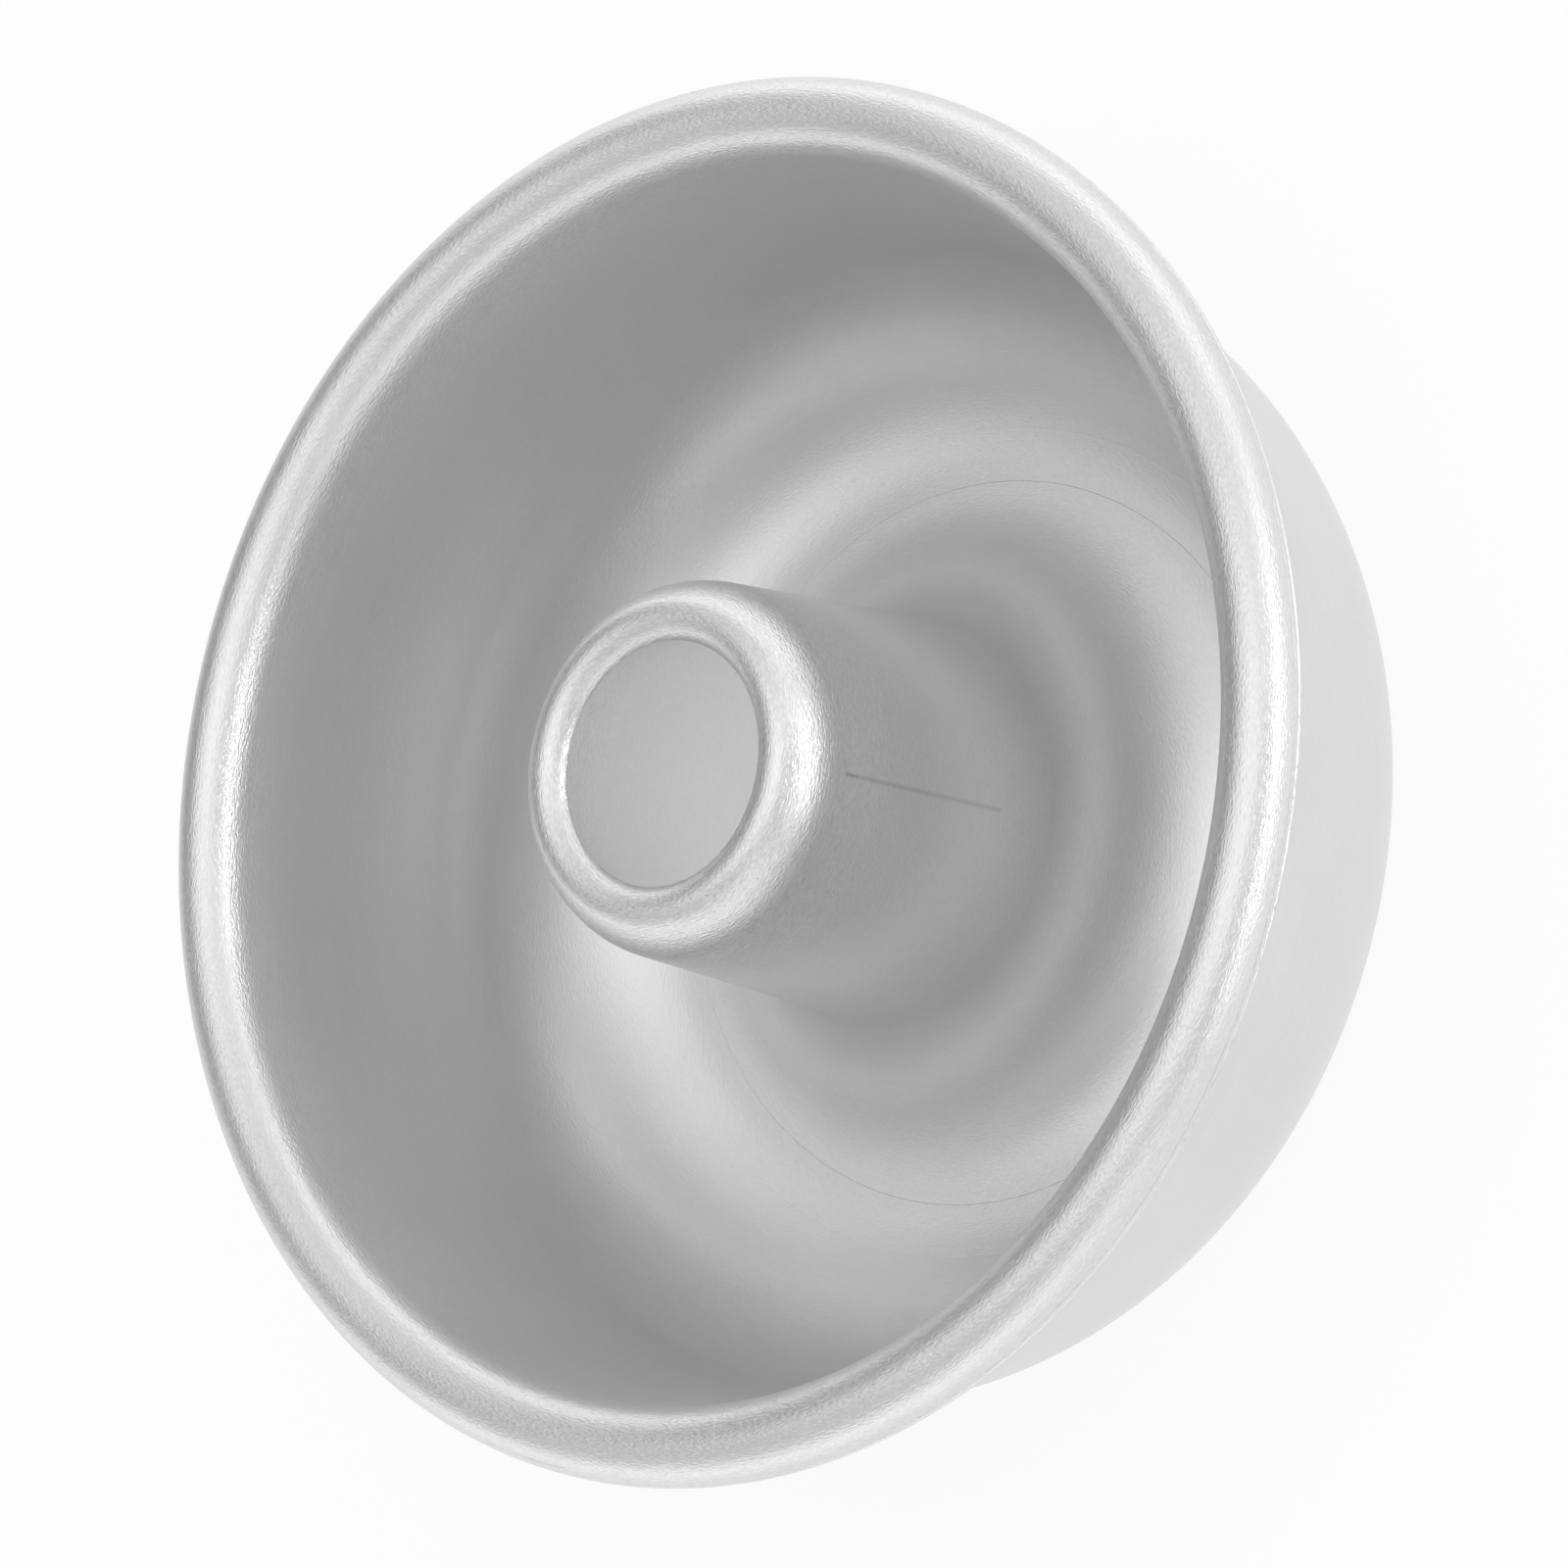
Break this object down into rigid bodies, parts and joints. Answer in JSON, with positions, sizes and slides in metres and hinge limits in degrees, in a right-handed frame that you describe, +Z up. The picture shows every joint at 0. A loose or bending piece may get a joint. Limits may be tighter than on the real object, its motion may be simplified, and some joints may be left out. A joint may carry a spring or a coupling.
{
  "type": "doughnut mould",
  "caption": "Round ring-shaped baking mould of satin aluminium sheet, with a rounded trough, a turned-over rim bead and an open tapered tube in the middle.",
  "frame": {"origin": "on the mould's axis, in the plane of the flat ring that it stands on", "axes": "+Z up along the axis, out of the open top; X and Y across the mould, which is the same all round"},
  "size_m": [0.112, 0.112, 0.0446],
  "materials": {
    "pan_aluminium": "satin anodised",
    "tube_aluminium": "satin anodised"
  },
  "bodies": {
    "root": {"pan_body": "pan_aluminium", "centre_tube": "tube_aluminium"}
  },
  "joints": []
}
